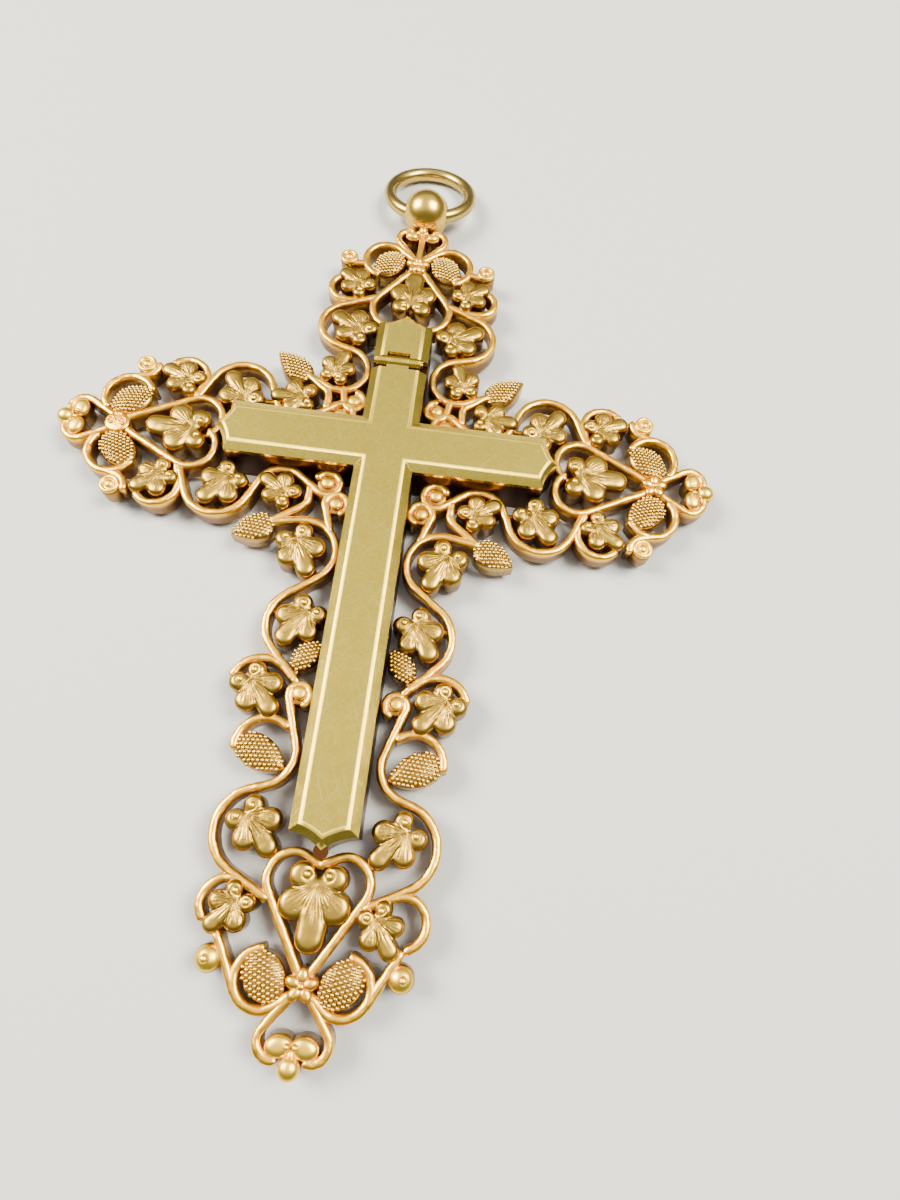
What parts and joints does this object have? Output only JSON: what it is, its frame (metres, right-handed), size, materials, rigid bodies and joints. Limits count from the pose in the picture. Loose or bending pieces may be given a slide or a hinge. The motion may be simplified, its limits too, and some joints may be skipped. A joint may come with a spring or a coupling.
{
  "type": "pectoral cross pendant",
  "caption": "Hinged cross-shaped locket case with pointed ends in a pierced border of vine scrolls, leaves and grapes, hung by a hollow ball and a round ring.",
  "frame": {"origin": "middle of the crossing on the back of the case, which it lies on", "axes": "+X along the arms to the right, +Y up the stem to the ring, +Z out of the lid's face"},
  "size_m": [0.086, 0.1248, 0.0068],
  "materials": {
    "scroll_gold": "cast and chased gold, satin",
    "case_gold": "satin gold",
    "ring_gold": "polished gold"
  },
  "bodies": {
    "cross": {"vine_frame": "scroll_gold", "case": "case_gold", "hinge_pin": "case_gold"},
    "lid": {"lid": "case_gold"},
    "ring": {"hanging_ring": "ring_gold"}
  },
  "joints": [
    {"name": "lid_hinge", "type": "hinge", "parent": "cross", "child": "lid", "pos_m": [0, 0.01295, 0.0056], "axis": [-1, 0, 0], "range_deg": [0, 105]},
    {"name": "ring_swing", "type": "hinge", "parent": "cross", "child": "ring", "pos_m": [0, 0.0426, 0.00345], "axis": [1, 0, 0], "range_deg": [0, 150]}
  ]
}
